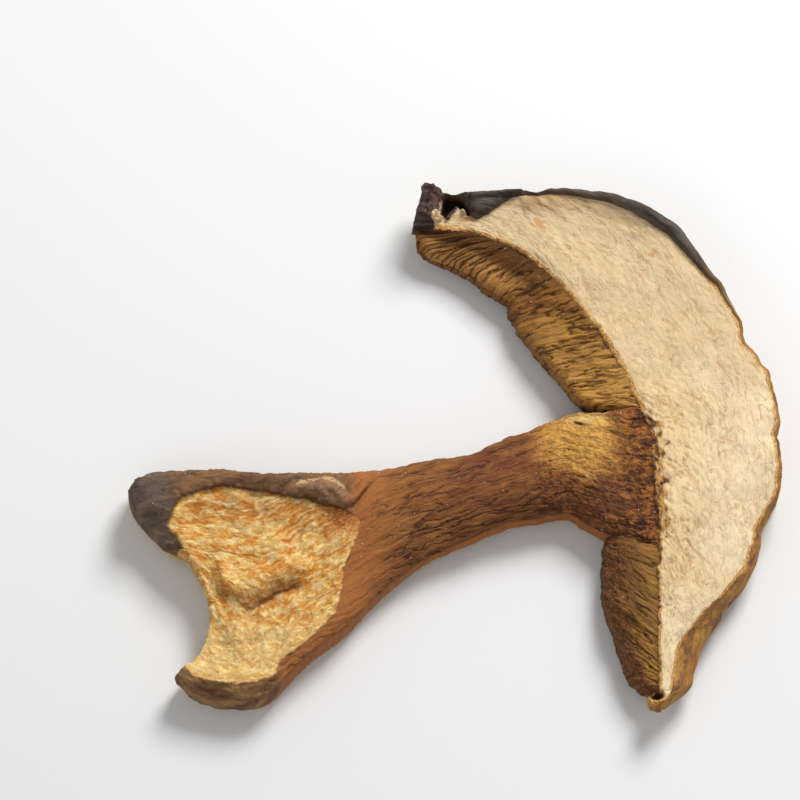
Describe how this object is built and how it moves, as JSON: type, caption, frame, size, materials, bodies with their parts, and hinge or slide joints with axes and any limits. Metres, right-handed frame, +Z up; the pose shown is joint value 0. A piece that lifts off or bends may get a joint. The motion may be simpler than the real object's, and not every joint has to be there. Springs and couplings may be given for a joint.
{
  "type": "dried bolete mushroom slice",
  "caption": "Lengthwise slice of a dried bolete mushroom: a cream crescent of cap, a brown tube layer in two arms and a bent stem that flares to a cut foot.",
  "frame": {"origin": "on the surface that the slice lies on, under the middle of its bounding box", "axes": "+X along the longest side, from the foot of the stem towards the cap; +Y across, towards the curled tip of the cap; +Z up, out of the front cut face"},
  "size_m": [0.1043, 0.088, 0.0101],
  "materials": {
    "cap_flesh": "matte",
    "tube_layer": "matte",
    "stem_bark": "matte"
  },
  "bodies": {
    "root": {"cap": "cap_flesh", "stem": "stem_bark", "tube_layer_long_arm": "tube_layer", "tube_layer_short_arm": "tube_layer"}
  },
  "joints": []
}
